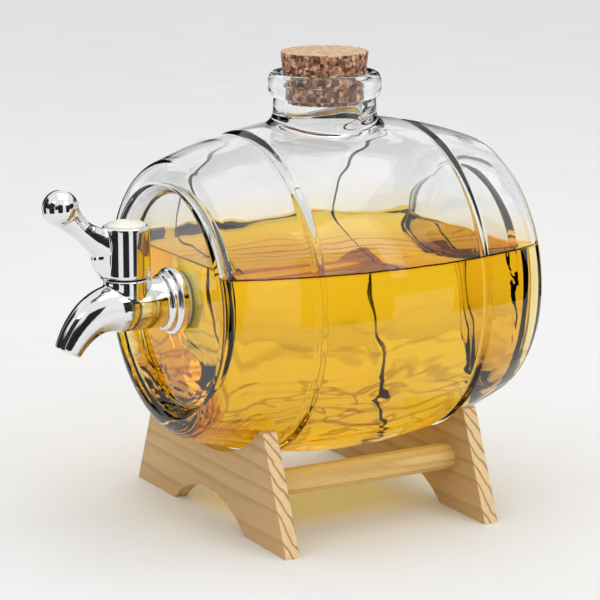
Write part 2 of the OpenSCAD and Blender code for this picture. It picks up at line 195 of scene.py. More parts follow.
def wood(name, heart, grain_axis, pale, middle, dark, ring_gap):
    """Sawn softwood: growth rings about a far-off heart line, fine fibres along the grain and pores."""
    made, tree, shader = new_material(name)
    fibre_stretch, fibre_share, patch_share = 0.06, 0.55, 0.8
    place = in_mm(tree, heart)
    along = in_mm(tree, heart, [fibre_stretch if axis == grain_axis else 1.0 for axis in "XYZ"])
    wander = add(tree, "TexNoise", Vector=along, Scale=0.09, Detail=2.0)
    sway = add(tree, "VectorMath", {"operation": "SCALE"}, in0=wander.outputs["Color"], Scale=5.0)
    swayed = add(tree, "VectorMath", {"operation": "ADD"}, in0=place, in1=sway.outputs[0])
    waves = {"wave_type": "RINGS", "rings_direction": grain_axis, "wave_profile": "SAW"}
    rings = add(tree, "TexWave", waves, Vector=swayed.outputs[0], Scale=wave_period / ring_gap,
                Distortion=0.6, Detail=1.0, Detail_Scale=0.2).outputs["Fac"]
    colour = ramp(tree, rings, (0.0, pale), (0.55, middle), (0.86, dark), (1.0, pale))
    # The sawn ends show darker late wood than the planed faces, as end grain does; their paler early wood is
    # painted light on those ends.
    painted_light_early_wood = [1.3 * part ** 0.8 for part in pale]
    late = [0.62 * part for part in dark]
    end_grain_and_painted_light = ramp(tree, rings, (0.0, painted_light_early_wood), (0.62, painted_light_early_wood), (0.86, late), (1.0, painted_light_early_wood))
    colour = mixed(tree, fade(tree, facing(tree, grain_axis), 0.55, 0.75), colour, end_grain_and_painted_light)
    fibres = add(tree, "TexNoise", Vector=along, Scale=3.2, Detail=5.0, Roughness=0.7).outputs["Fac"]
    streak = ramp(tree, fibres, (0.32, (0.70, 0.66, 0.60)), (0.62, (1.0, 1.0, 1.0)))
    colour = mixed(tree, fibre_share, colour, streak, "MULTIPLY")
    patches = add(tree, "TexNoise", Vector=along, Scale=0.35, Detail=2.0)
    warm = ramp(tree, patches.outputs["Fac"], (0.3, (0.88, 0.86, 0.84)), (0.7, (1.0, 1.0, 1.0)))
    colour = mixed(tree, patch_share, colour, warm, "MULTIPLY")
    tree.links.new(colour, shader.inputs["Base Color"])
    tree.links.new(fade(tree, fibres, 0.0, 1.0, 0.62, 0.42), shader.inputs["Roughness"])
    height = add(tree, "Math", {"operation": "MULTIPLY_ADD"}, in0=rings, in1=0.25, in2=fibres)
    bump(tree, shader, height.outputs[0], strength=0.35, distance=0.12)
    return made


eased_edge = 0.45 * mm
corner_angle = math.radians(40)
heart_away = Vector((0, -104, -60)) * mm
pine_pale, pine_middle, pine_dark = (0.63, 0.41, 0.185), (0.60, 0.38, 0.162), (0.515, 0.305, 0.123)
pine_ring_gap = 3.3
for node in ("front_cradle", "rear_cradle"):
    low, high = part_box(node)
    board = copy_of(node, node.replace("cradle", "cradle_board"))
    modify(board, "BEVEL", width=eased_edge, segments=3, limit_method="ANGLE", angle_limit=corner_angle)
    smooth_shade(board)
    heart = (low + high) / 2 + heart_away
    pine = wood(node + "_pine", heart, "X", pine_pale, pine_middle, pine_dark, pine_ring_gap)
    fit(board, pine, "stand", "pine", node)

# Rails: two turned dowels that join the cradles, glued into blind sockets in their inner faces.
# They are of a yellower, straight-grained wood.


def laid_out(name, points, closed):
    """A ring of vertices, laid out along points. An open one loses its closing edge."""
    pick()
    bpy.ops.mesh.primitive_circle_add(vertices=len(points), radius=mm, location=(0, 0, 0))
    piece = bpy.context.object
    piece.name = piece.data.name = name
    for vertex, point in zip(piece.data.vertices, points):
        vertex.co = point
    if not closed:
        edit(piece)
        shape = bmesh.from_edit_mesh(piece.data)
        last = len(points) - 1
        for edge in shape.edges:
            edge.select_set({v.index for v in edge.verts} == {0, last})
        bpy.ops.mesh.delete(type="EDGE")
    return piece


def turned(name, profile, foot, axis, closed=False, steps=96):
    """A piece turned on a lathe: a profile of radius and distance, spun round an axis from its foot."""
    axis = Vector(axis)
    out = Vector((0, 0, 1)) if abs(axis.z) < 0.5 else Vector((1, 0, 0))
    piece = laid_out(name, [foot + out * r + axis * d for r, d in profile], closed)
    edit(piece)
    bpy.ops.mesh.spin(steps=steps, angle=math.tau, center=foot, axis=axis, use_auto_merge=True)
    bpy.ops.mesh.select_all(action="SELECT")
    bpy.ops.mesh.remove_doubles(threshold=merge_gap)
    bpy.ops.mesh.normals_make_consistent(inside=False)
    return piece


def eased(profile, radius, steps=4):
    """Rounds the inner corners of a profile with arcs that run out at a radius from each corner."""
    points = [Vector(p) for p in profile]
    made = [points[0]]
    for before, corner, after in zip(points, points[1:], points[2:]):
        reach = min(radius, (before - corner).length / 2, (after - corner).length / 2)
        first = corner + (before - corner).normalized() * reach
        last = corner + (after - corner).normalized() * reach
        for step in range(steps + 1):
            f = step / steps
            made.append(first * (1 - f) ** 2 + corner * 2 * f * (1 - f) + last * f * f)
    made.append(points[-1])
    return [tuple(p) for p in made]


dowel_edge = 0.4 * mm
heart_aside = Vector((-30, 0, -14)) * mm
rail_pale, rail_middle, rail_dark = (0.88, 0.62, 0.235), (0.83, 0.56, 0.19), (0.70, 0.44, 0.135)
rail_ring_gap = 2.2
for node in ("left_rail", "right_rail"):
    low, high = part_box(node)
    radius, length = (high.x - low.x) / 2, high.y - low.y
    foot = Vector(((low.x + high.x) / 2, low.y, (low.z + high.z) / 2))
    outline = eased([(0, 0), (radius, 0), (radius, length), (0, length)], dowel_edge)
    dowel = turned(node.replace("rail", "rail_dowel"), outline, foot, (0, 1, 0))
    smooth_shade(dowel)
    heart = foot + heart_aside
    rail_wood = wood(node + "_wood", heart, "Y", rail_pale, rail_middle, rail_dark, rail_ring_gap)
    fit(dowel, rail_wood, "stand", "rail_wood", node)

# Barrel: blown clear glass, with a hoop groove near each end, flat heads inside their rims and a rolled lip.
# Its outside is smooth from the mould, its inside is a little uneven, and its foot has wavy draws, with dark
# amber streaks painted on its wetted inside there as reflections of dark surroundings.
# The drink wets the inside: the glass doesn't mirror there, and a golden film fades out above it.

low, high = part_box("glass_barrel")
barrel_mid = (low.y + high.y) / 2
half_len = (high.y - low.y) / 2
belly_r = 170 * mm
barrel_r = 60.5 * mm
axis_z = low.z + barrel_r
barrel_centre = Vector((0, barrel_mid, axis_z))
shoulder_r = 8 * mm
head_recess, rim_step = 6 * mm, 4.6 * mm
wall = 3.2 * mm
groove_at, groove_w, groove_deep = 33.5 * mm, 5 * mm, 1.1 * mm
tap_hole_r = 6.7 * mm
belly_centre = barrel_r - belly_r
shoulder_at = half_len - shoulder_r
shoulder_turn = math.asin(shoulder_at / (belly_r - shoulder_r))
rim_r = belly_centre + (belly_r - shoulder_r) * math.cos(shoulder_turn)
head_r = rim_r - rim_step
head_y = half_len - head_recess


def spread(first, last, count):
    """Evenly spaced values from the first to the last."""
    return [first + (last - first) * i / (count - 1) for i in range(count)]


def belly(t, depth):
    """Radius of the belly at a distance from the barrel's middle, at a depth below the outside."""
    return belly_centre + math.sqrt((belly_r - depth) ** 2 - t * t)


def groove(t):
    """Depth of the hoop groove at a distance from the barrel's middle."""
    away = (abs(t) - groove_at) / groove_w
    return groove_deep * (1 + math.cos(math.tau * away)) / 2 if abs(away) < 0.5 else 0


row_gap = 2.3 * mm
neck_rows, groove_rows, side_rows, shoulder_rows, step_rows, head_rows = 13, 17, 8, 13, 17, 8
groove_reach, past_groove = 0.6 * groove_w, 1.1 * groove_w


def barrel_half(depth, grooved, end_r):
    """Half of the barrel's profile as radius and distance, from its middle to a radius on its head."""
    join = (belly_r - depth) * math.sin(shoulder_turn)
    places = [row_gap * i for i in range(neck_rows + 1)]
    places += spread(groove_at - groove_reach, groove_at + groove_reach, groove_rows)
    places += spread(groove_at + past_groove, join, side_rows)
    points = [(belly(t, depth) - (groove(t) if grooved else 0), t) for t in places]
    round_r = shoulder_r - depth
    for a in spread(shoulder_turn, math.pi / 2, shoulder_rows)[1:]:
        points.append((rim_r + round_r * math.cos(a), shoulder_at + round_r * math.sin(a)))
    for r in spread(rim_r, head_r, step_rows)[1:]:
        step_depth = head_recess * (1 + math.cos(math.pi * (r - head_r) / rim_step)) / 2
        points.append((r, half_len - step_depth - depth))
    points += [(r, head_y - depth) for r in spread(head_r, end_r, head_rows)[1:]]
    return points


def barrel_profile(depth, grooved, front_r):
    """The whole profile of the barrel, from the middle of its rear head to a radius on its front head."""
    rear = barrel_half(depth, grooved, 0)
    front = [(r, -t) for r, t in barrel_half(depth, grooved, front_r)]
    return rear[::-1] + front[1:]


# The neck grows out of a round hole in the top of the barrel. The barrel's squares of faces round the hole
# are drawn into circles, and the hole's edge is then pulled up and over the lip and down the bore.
neck_r = 18.5 * mm
lip_r = 20.3 * mm
lip_h = 9 * mm
lip_top = barrel_r + 16.5 * mm
cork_bottom = lip_top - 11 * mm
bore_top_r, bore_r = 15.11 * mm, 13.8 * mm
hole_r = {0: 22.5 * mm, wall: 16.0 * mm}
hole_cells, drawn_cells = 10, neck_rows
columns = 160
neck_merge_gap = 0.05 * mm


def top_height(x, t, depth):
    """Height of the barrel's surface over its axis at a place seen from above."""
    return math.sqrt(belly(t, depth) ** 2 - x * x)


def cell(point):
    """Which column, row and skin of the barrel a vertex near the neck is in, or None."""
    x, t, z = point - barrel_centre
    if z < 0 or abs(t) > row_gap * (neck_rows + 0.4):
        return None
    column = round(math.atan2(x, z) / (math.tau / columns))
    depth = 0 if math.hypot(x, z) > belly(t, wall / 2) else wall
    return column, round(t / row_gap), depth


def round_the_neck(column, row):
    """The angle about the neck of a vertex in a square of cells."""
    ring = max(abs(column), abs(row))
    if ring == abs(column):
        turn = math.pi / 4 * row / ring
        return turn if column > 0 else math.pi - turn
    turn = math.pi / 4 * column / ring
    return math.pi / 2 - turn if row > 0 else turn - math.pi / 2


def draw_hole(piece):
    """Draws the cells round the neck into circles and deletes those inside the hole of each skin."""
    inside = []
    for vertex in piece.data.vertices:
        found = cell(vertex.co)
        if found is None:
            continue
        column, row, depth = found
        ring = max(abs(column), abs(row))
        if ring <= hole_cells:
            inside.append(vertex.index)
        if hole_cells <= ring < drawn_cells:
            share = (drawn_cells - ring) / (drawn_cells - hole_cells)
            share = share * share * (3 - 2 * share)
            turn = round_the_neck(column, row)
            radius = hole_r[depth] + (ring - hole_cells) * row_gap
            place = vertex.co - barrel_centre
            x = place.x + (radius * math.cos(turn) - place.x) * share
            t = place.y + (radius * math.sin(turn) - place.y) * share
            vertex.co = barrel_centre + Vector((x, t, top_height(x, t, depth)))
    inside = set(inside)
    edit(piece)
    bpy.ops.mesh.select_all(action="DESELECT")
    bpy.ops.mesh.select_mode(type="FACE")
    shape = bmesh.from_edit_mesh(piece.data)
    for face in shape.faces:
        face.select_set(all(v.index in inside for v in face.verts))
    bpy.ops.mesh.delete(type="FACE")


def fillet_point(f, r, height, turn, depth):
    """A point of the fillet from a hole's edge, at f 0, to a wall of radius r at a height, at f 1."""
    edge_r = hole_r[depth]
    step = 0.1 * mm
    heights = [top_height(e * math.cos(turn), e * math.sin(turn), depth) for e in (edge_r, edge_r - step)]
    corner = heights[0] + (heights[1] - heights[0]) / step * (edge_r - r)
    radius = edge_r * (1 - f) ** 2 + r * (1 - (1 - f) ** 2)
    return radius, heights[0] * (1 - f) ** 2 + corner * 2 * f * (1 - f) + height * f * f


def neck_rings():
    """The rings of the neck from the outer hole to the inner one, each a function of the angle about it."""
    wall_foot, bore_foot = barrel_r + 3.6 * mm, barrel_r - 1 * mm
    fullness = 0.75
    lip_start, lip_end, lip_steps = -80, 180, 27
    lip_mid, lip_half = (bore_top_r + lip_r) / 2, (lip_r - bore_top_r) / 2
    rings = [lambda turn, f=f: fillet_point(f, neck_r, wall_foot, turn, 0) for f in spread(0, 1, 8)[1:]]
    rings.append(lambda turn: (neck_r, (wall_foot + lip_top - lip_h) / 2))
    for a in spread(lip_start, lip_end, lip_steps):
        c, s = math.cos(math.radians(a)), math.sin(math.radians(a))
        r = lip_mid + lip_half * math.copysign(abs(c) ** fullness, c)
        z = lip_top - lip_h / 2 + lip_h / 2 * math.copysign(abs(s) ** fullness, s)
        rings.append(lambda turn, r=r, z=z: (r, z))
    # Under the lip the bore narrows to the foot of the cork.
    for f in spread(0.4, 1, 4):
        r, z = bore_top_r + (bore_r - bore_top_r) * f, lip_top + (cork_bottom - lip_top) * f
        rings.append(lambda turn, r=r, z=z: (r, z))
    rings += [lambda turn, f=f: fillet_point(f, bore_r, bore_foot, turn, wall) for f in spread(1, 0, 7)]
    return rings


def pull_neck(piece):
    """Pulls the outer hole's edge up, over the lip and down to the inner hole's edge."""
    edit(piece)
    bpy.ops.mesh.select_mode(type="EDGE")
    bpy.ops.mesh.select_all(action="DESELECT")
    shape = bmesh.from_edit_mesh(piece.data)
    for edge in shape.edges:
        middle = (edge.verts[0].co + edge.verts[1].co) / 2 - barrel_centre
        edge.select_set(edge.is_boundary and math.hypot(middle.x, middle.y) > (hole_r[0] + hole_r[wall]) / 2)
    for ring in neck_rings():
        bpy.ops.mesh.extrude_region_move()
        shape = bmesh.from_edit_mesh(piece.data)
        for vertex in (v for v in shape.verts if v.select):
            place = vertex.co - barrel_centre
            turn = math.atan2(place.y, place.x)
            radius, height = ring(turn)
            vertex.co = barrel_centre + Vector((radius * math.cos(turn), radius * math.sin(turn), height))
    bmesh.update_edit_mesh(piece.data)
    bpy.ops.mesh.select_mode(type="VERT")
    bpy.ops.mesh.select_all(action="SELECT")
    bpy.ops.mesh.remove_doubles(threshold=neck_merge_gap)
    bpy.ops.mesh.normals_make_consistent(inside=False)


def let_lamps_through(tree, surface, shade):
    """Lets lamp light through clear stuff as a shade, so that what stands under it isn't left black."""
    path = add(tree, "LightPath").outputs["Is Shadow Ray"]
    see_through = add(tree, "BsdfTransparent", Color=shade)
    both = add(tree, "MixShader", in0=path, in1=surface.outputs[0], in2=see_through.outputs[0])
    tree.links.new(both.outputs[0], tree.nodes["Material Output"].inputs["Surface"])


def level(tree):
    """Height over the floor, in metres."""
    return add(tree, "SeparateXYZ", Vector=add(tree, "TexCoord").outputs["Object"]).outputs["Z"]


def product(tree, *shares):
    """Multiplies shares together."""
    made = shares[0]
    for share in shares[1:]:
        made = add(tree, "Math", {"operation": "MULTIPLY"}, in0=made, in1=share).outputs[0]
    return made


def off_the_bottom(tree):
    """A share that is 1 on the barrel's sides and falls to 0 on its underside."""
    return fade(tree, facing(tree, "Z"), 0.65, 0.90, 1.0, 0.0)


glass_ior = 1.5
drink_top = axis_z + 15.5 * mm
meniscus = 0.9 * mm
film_h, film_share, film_colour = 14 * mm, 0.75, (1.0, 0.78, 0.36, 1.0)
draws_from, draws_full, draws_rise = axis_z - 12 * mm, axis_z - 42 * mm, 7.0
# Painted reflections: dark amber streaks on the wetted glass by the foot stand for dark surroundings seen
# through it.
painted_streaks_from, painted_streaks_full = axis_z - 18 * mm, axis_z - 44 * mm
painted_streak_gap, painted_streak_w, painted_streak_colour = 5.0, 0.28, (0.34, 0.19, 0.08, 1.0)


def painted_reflection_tint(tree, streak, height):
    """Clear, with broken dark amber streaks by the barrel's foot, painted as reflections of dark
    surroundings.
    """
    waves = {"wave_type": "BANDS", "bands_direction": "Z", "wave_profile": "SIN"}
    swirls = add(tree, "TexWave", waves, Vector=in_mm(tree, barrel_centre, (1, 0.6, 1)),
                 Scale=wave_period / painted_streak_gap, Distortion=9.0, Detail=1.5, Detail_Scale=0.7)
    line = fade(tree, swirls.outputs["Fac"], 0.0, painted_streak_w, 1.0, 0.0)
    broken = fade(tree, streak, 0.30, 0.55)
    painted_low_share = fade(tree, height, painted_streaks_from, painted_streaks_full)
    painted_streak_share = product(tree, line, painted_low_share, broken, off_the_bottom(tree))
    return mixed(tree, painted_streak_share, (1.0, 1.0, 1.0, 1.0), painted_streak_colour)


def barrel_glass(name, wet):
    """Clear blown glass with slow waves and fine draws. Where the drink wets it, it doesn't mirror."""
    made, tree, shader = new_material(name)
    shader.inputs["Transmission Weight"].default_value = 1.0
    shader.inputs["IOR"].default_value = glass_ior
    shader.inputs["Roughness"].default_value = 0.0
    height = level(tree)
    streaks = add(tree, "TexNoise", Vector=in_mm(tree, barrel_centre, (1, 0.4, 1)), Scale=0.05, Detail=1.5)
    streak = streaks.outputs["Fac"]
    tint = ramp(tree, streak, (0.3, (0.955, 0.975, 0.975)), (0.7, (1.0, 1.0, 1.0)))
    if wet:
        film = fade(tree, height, drink_top, drink_top + film_h, film_share, 0.0, "SMOOTHSTEP")
        tint = mixed(tree, film, tint, film_colour)
    tree.links.new(tint, shader.inputs["Base Color"])
    foot = fade(tree, height, draws_from, draws_full, 0.0, draws_rise)
    round_side = fade(tree, facing(tree, "Y"), 0.35, 0.6, 1.0, 0.0)
    draws = add(tree, "TexNoise", Vector=in_mm(tree, barrel_centre, (1, 0.5, 1)), Scale=0.06, Detail=1.0,
                Distortion=1.5)
    rise = add(tree, "Math", {"operation": "MULTIPLY_ADD"}, in0=draws.outputs["Fac"],
               in1=product(tree, foot, round_side), in2=streak)
    bump(tree, shader, rise.outputs[0], strength=0.25, distance=0.6)
    surface = shader
    if wet:
        # Painted reflections: the wetted glass is coloured with dark amber streaks by its foot.
        painted_streaks = painted_reflection_tint(tree, streak, height)
        clear = add(tree, "BsdfRefraction", Color=painted_streaks, IOR=glass_ior, Roughness=0.0)
        under = add(tree, "Math", {"operation": "LESS_THAN"}, in0=height, in1=drink_top - meniscus)
        surface = add(tree, "MixShader", in0=under.outputs[0], in1=shader.outputs[0], in2=clear.outputs[0])
    let_lamps_through(tree, surface, (0.93, 0.95, 0.95, 1.0))
    return made


shell = barrel_profile(0, True, tap_hole_r)
shell += [(r, t) for r, t in reversed(barrel_profile(wall, False, tap_hole_r))]
barrel = turned("barrel_glass", shell, barrel_centre, (0, 1, 0), steps=columns)
pick(barrel)
draw_hole(barrel)
pull_neck(barrel)
pick(barrel)
inner_skin = barrel.vertex_groups.new(name="inner_skin")
for vertex in barrel.data.vertices:
    x, t, z = vertex.co - barrel_centre
    off_the_neck = math.hypot(x, t * (z > 0)) > hole_r[wall]
    if off_the_neck and abs(t) < shoulder_at and math.hypot(x, z) < belly(t, 0.7 * wall):
        inner_skin.add([vertex.index], 1.0, "REPLACE")
waves = bpy.data.textures.new("blown_waves", "CLOUDS")
waves.noise_scale = 16 * mm
waves.noise_depth = 1
modify(barrel, "DISPLACE", texture=waves, texture_coords="LOCAL", strength=0.5 * mm, mid_level=0.5,
       vertex_group="inner_skin")
smooth_shade(barrel, 40)
fit(barrel, barrel_glass("clear_blown_glass", False), "barrel", "clear_glass", "glass_barrel")
barrel.data.materials.append(barrel_glass("wetted_glass", True))
film_margin = 4 * mm
wet_top = drink_top - axis_z + film_h + film_margin
for face in barrel.data.polygons:
    x, t, z = face.center - barrel_centre
    if abs(t) < groove_at + groove_w:
        inner = face.normal.x * x + face.normal.z * z < 0
    else:
        inner = face.normal.y * t < 0
    face.material_index = 1 if inner and z < wet_top else 0

# Drink: a clear golden spirit that fills the barrel a little past its middle, with painted shade that makes
# it browner by its foot.
# It reaches into the glass by a hair, so that no air shows between the two, and climbs it at the rim.

into_glass = 0.3 * mm
fill = barrel_profile(wall - into_glass, False, 0)
drink = turned("golden_drink", fill, barrel_centre, (0, 1, 0), steps=columns)
edit(drink)
bpy.ops.mesh.bisect(plane_co=(0, 0, drink_top), plane_no=(0, 0, 1), use_fill=True, clear_outer=True)
bpy.ops.mesh.select_mode(type="FACE")
bpy.ops.mesh.select_all(action="DESELECT")
shape = bmesh.from_edit_mesh(drink.data)
for face in shape.faces:
    face.select_set(face.normal.z > 0.99 and face.calc_center_median().z > drink_top - 0.01 * mm)
# Each step goes in from the glass by some millimetres and down by a share of the meniscus.
rim_steps = ((0.15, 0.4), (0.2, 0.3), (0.3, 0.2))
for inset, drop in rim_steps:
    bpy.ops.mesh.inset(thickness=inset * mm)
    bpy.ops.transform.translate(value=(0, 0, -drop * meniscus))
smooth_shade(drink, 60)

drink_ior = 1.36
top_skin = 1.1 * mm
# Painted shade: the top is tinted a deeper, darker gold than the side.
painted_top_shade, painted_foot_shade = (1.0, 0.77, 0.15, 1.0), (0.86, 0.72, 0.42, 1.0)
# Painted shade: the drink's side grows browner from here down to its foot.
painted_shade_from, painted_shade_full = axis_z - 15 * mm, axis_z - 50 * mm
unmirrored_top = 0.88


def golden_spirit():
    """Clear liquid that takes out the blue and some of the green with depth."""
    made, tree, shader = new_material("golden_spirit")
    shader.inputs["Transmission Weight"].default_value = 1.0
    shader.inputs["IOR"].default_value = drink_ior
    shader.inputs["Roughness"].default_value = 0.0
    height = level(tree)
    swirl = add(tree, "TexNoise", Vector=in_mm(tree, barrel_centre), Scale=0.03, Detail=1.0)
    tint = ramp(tree, swirl.outputs["Fac"], (0.35, (1.0, 0.91, 0.60)), (0.65, (1.0, 0.95, 0.70)))
    # Painted shade: browner towards the foot, except on the underside.
    painted_low_share = fade(tree, height, painted_shade_from, painted_shade_full)
    tint = mixed(tree, product(tree, painted_low_share, off_the_bottom(tree)), tint, painted_foot_shade)
    # Painted shade: a deeper gold on the top than on the side.
    side = add(tree, "Math", {"operation": "LESS_THAN"}, in0=height, in1=drink_top - top_skin).outputs[0]
    tint = mixed(tree, side, painted_top_shade, tint)
    tree.links.new(tint, shader.inputs["Base Color"])
    # The side wets the glass and mirrors nothing. The top mirrors a little from above and fully from below.
    wetting = add(tree, "BsdfRefraction", Color=tint, IOR=drink_ior, Roughness=0.0)
    from_below = add(tree, "NewGeometry").outputs["Backfacing"]
    from_above = fade(tree, from_below, 0.0, 1.0, unmirrored_top, 0.0)
    plain = add(tree, "Math", {"operation": "MAXIMUM"}, in0=side, in1=from_above)
    surface = add(tree, "MixShader", in0=plain.outputs[0], in1=shader.outputs[0], in2=wetting.outputs[0])
    depth = add(tree, "VolumeAbsorption", Color=(0.998, 0.893, 0.12, 1.0), Density=32.0)
    tree.links.new(depth.outputs[0], tree.nodes["Material Output"].inputs["Volume"])
    let_lamps_through(tree, surface, (1.0, 0.88, 0.50, 1.0))
    return made


# The record has no slot for a drink, so it is passed the name of the glass's slot, which goes unused.
fit(drink, golden_spirit(), "barrel", "clear_glass")

# Tap fixings: a silicone gasket each side of the glass, a steel washer and a moulded nut on the tap's shank.
# They draw the tap's flange up against the front head and keep it tight.


def speckled(name, colour, other, size, roughness, rise, metallic=0.0):
    """A moulded or plated surface: a colour that drifts to another, with a fine uneven skin."""
    made, tree, shader = new_material(name)
    noise = add(tree, "TexNoise", Vector=in_mm(tree), Scale=1 / size, Detail=4.0, Roughness=0.6)
    drift = noise.outputs["Fac"]
    tree.links.new(ramp(tree, drift, (0.3, colour), (0.7, other)), shader.inputs["Base Color"])
    rough = fade(tree, drift, 0.0, 1.0, roughness * 0.8, roughness * 1.2)
    tree.links.new(rough, shader.inputs["Roughness"])
    shader.inputs["Metallic"].default_value = metallic
    grain = add(tree, "TexNoise", Vector=in_mm(tree), Scale=6 / size, Detail=3.0)
    bump(tree, shader, grain.outputs["Fac"], strength=0.2, distance=rise)
    return made


rubber = speckled("black_rubber", (0.012, 0.012, 0.013), (0.03, 0.03, 0.032),
                  size=2.0, roughness=0.55, rise=0.03)
bright_steel = speckled("bright_steel", (0.55, 0.56, 0.58), (0.66, 0.67, 0.68),
                        size=3.0, roughness=0.28, rise=0.01, metallic=1.0)
silicone = speckled("white_silicone", (0.72, 0.72, 0.69), (0.80, 0.80, 0.78),
                    size=3.0, roughness=0.5, rise=0.02)
white_nylon = speckled("white_nylon", (0.78, 0.78, 0.75), (0.84, 0.84, 0.82),
                       size=4.0, roughness=0.42, rise=0.03)
shank_r = 6.3 * mm
ring_edge, nut_edge = 0.3 * mm, 0.5 * mm
for node, surface, slot in (("outer_gasket", silicone, "white_silicone"),
                            ("inner_gasket", silicone, "white_silicone"),
                            ("shank_washer", bright_steel, "steel")):
    low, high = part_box(node)
    outer, thick = (high.x - low.x) / 2, high.y - low.y
    loop = eased([(shank_r, thick / 2), (shank_r, 0), (outer, 0), (outer, thick), (shank_r, thick),
                  (shank_r, thick / 2)], ring_edge)
    ring = turned(node + "_ring", loop[:-1], Vector((0, low.y, axis_z)), (0, 1, 0), closed=True)
    smooth_shade(ring)
    fit(ring, surface, "barrel", slot, node)
nut = copy_of("shank_nut", "shank_nut_hex")
modify(nut, "BEVEL", width=nut_edge, segments=3, limit_method="ANGLE", angle_limit=corner_angle)
smooth_shade(nut)
fit(nut, white_nylon, "barrel", "white_plastic", "shank_nut")

# Tap body: cast and chrome plated, with a flange, a step, an upright housing and a curved spout.
# Its shank runs back through the glass, and the spout tapers to an open mouth.

flange_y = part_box("outer_gasket")[0].y
joint = next(j for j in frame["joints"] if j["name"] == "tap_turn")
valve = Vector(joint["pos_m"])
valve_reach = flange_y - valve.y
shank_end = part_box("tap_body")[1].y - flange_y
flange_r, flange_t, step_r, step_end = 12 * mm, 3.4 * mm, 10.25 * mm, 5.8 * mm
body_r, housing_r, housing_h = 8.75 * mm, 8.1 * mm, 10.2 * mm
spout_root, spout_reach, spout_drop = 4.4 * mm, 23.1 * mm, 14 * mm
mouth_angle = math.radians(63.5)
spout_bend = spout_reach - spout_drop / math.tan(mouth_angle)
mouth_r, spout_bore_r = 4.8 * mm, 3.0 * mm


def spout_at(s):
    """A point of the spout's middle line and the direction there, from 0 at its root to 1 at its mouth."""
    forwards = (1 - s) ** 2 * spout_root + 2 * s * (1 - s) * spout_bend + s * s * spout_reach
    way = Vector((0, -(1 - s) * (spout_bend - spout_root) - s * (spout_reach - spout_bend), -s * spout_drop))
    return valve + Vector((0, -forwards, -s * s * spout_drop)), way.normalized()


def swept(name, stations, sides=64):
    """A round bar pulled along stations of a middle, a direction, a width and a height of its section."""
    def section(middle, way, wide, tall):
        across = Vector((1, 0, 0))
        up = across.cross(way)
        turns = [math.tau * k / sides for k in range(sides)]
        return [middle + across * wide * math.cos(a) + up * tall * math.sin(a) for a in turns]

    piece = laid_out(name, section(*stations[0]), True)
    edit(piece)
    bpy.ops.mesh.edge_face_add()
    bpy.ops.mesh.select_mode(type="FACE")
    for station in stations[1:]:
        bpy.ops.mesh.extrude_region_move()
        shape = bmesh.from_edit_mesh(piece.data)
        face = next(f for f in shape.faces if f.select)
        order = sorted(face.verts, key=lambda v: v.index)
        for vertex, place in zip(order, section(*station)):
            vertex.co = place
        bmesh.update_edit_mesh(piece.data)
    bpy.ops.mesh.select_mode(type="VERT")
    bpy.ops.mesh.select_all(action="SELECT")
    bpy.ops.mesh.normals_make_consistent(inside=False)
    return piece


def cast_in_one(name, parts, grain, soften):
    """Casts overlapping parts as one skin, true to them, with the corners between them run together."""
    pick(*parts)
    bpy.ops.object.join()
    pattern = bpy.context.object
    pattern.name = name + "_pattern"
    casting = bpy.data.objects.new(name, pattern.data.copy())
    bpy.context.collection.objects.link(casting)
    modify(casting, "REMESH", mode="VOXEL", voxel_size=grain)
    modify(casting, "SHRINKWRAP", target=pattern, wrap_method="NEAREST_SURFACEPOINT")
    edit(casting)
    bpy.ops.mesh.select_mode(type="EDGE")
    bpy.ops.mesh.select_all(action="DESELECT")
    bpy.ops.mesh.edges_select_sharp(sharpness=math.radians(24))
    bpy.ops.mesh.select_more()
    bpy.ops.mesh.select_more()
    bpy.ops.mesh.vertices_smooth(factor=0.5, repeat=soften)
    bpy.ops.mesh.select_all(action="SELECT")
    bpy.ops.mesh.vertices_smooth(factor=0.5, repeat=2)
    bpy.ops.object.mode_set(mode="OBJECT")
    bpy.data.objects.remove(pattern)
    pick(casting)
    bpy.ops.object.shade_smooth()
    return casting


cast_edge, cast_grain, fine_steps = 0.6 * mm, 0.3 * mm, 192
nose = valve_reach + spout_root
step_slope = 0.3 * mm
outline = [(0, 0), (flange_r, 0), (flange_r, flange_t), (step_r, flange_t), (step_r, step_end),
           (body_r, step_end + step_slope), (body_r, nose), (0, nose)]
flange_foot = Vector((0, flange_y, axis_z))
tap_barrel = turned("tap_barrel", eased(outline, cast_edge), flange_foot, (0, -1, 0), steps=fine_steps)
housing_foot = -3 * mm
outline = [(0, housing_foot), (housing_r, housing_foot), (housing_r, housing_h), (0, housing_h)]
housing = turned("tap_housing", eased(outline, cast_edge), valve, (0, 0, 1), steps=fine_steps)
root_inset = 0.02 * mm
root_r = body_r - root_inset
mouth_edge, bore_edge = 0.5 * mm, 0.4 * mm
# The spout starts inside the body, tapers to its mouth, turns in over the edge and runs back up its bore.
line = [(s, root_r + (mouth_r - root_r) * max(s, 0)) for s in spread(-0.12, 1, 30)]
line += [(1.0, mouth_r - mouth_edge), (1.0, spout_bore_r + bore_edge)]
line += [(s, spout_bore_r) for s in (0.98, 0.8, 0.6, 0.45)]
spout = swept("tap_spout", [(*spout_at(s), r, r) for s, r in line])
body = cast_in_one("tap_casting", [tap_barrel, housing, spout], cast_grain, soften=12)
smooth_shade(body, 60)
thread_start, thread_gap, thread_deep = -0.5 * mm, 1.25 * mm / 2, 0.5 * mm
thread = [(shank_r - (thread_deep if i % 2 else 0), thread_start + thread_gap * i)
          for i in range(int((shank_end - thread_start) / thread_gap))]
outline = [(0, thread_start)] + thread + [(shank_r - thread_deep, shank_end), (0, shank_end)]
shank = turned("tap_shank", outline, flange_foot, (0, 1, 0))
smooth_shade(shank, 60)
pick(shank, body)
bpy.ops.object.join()


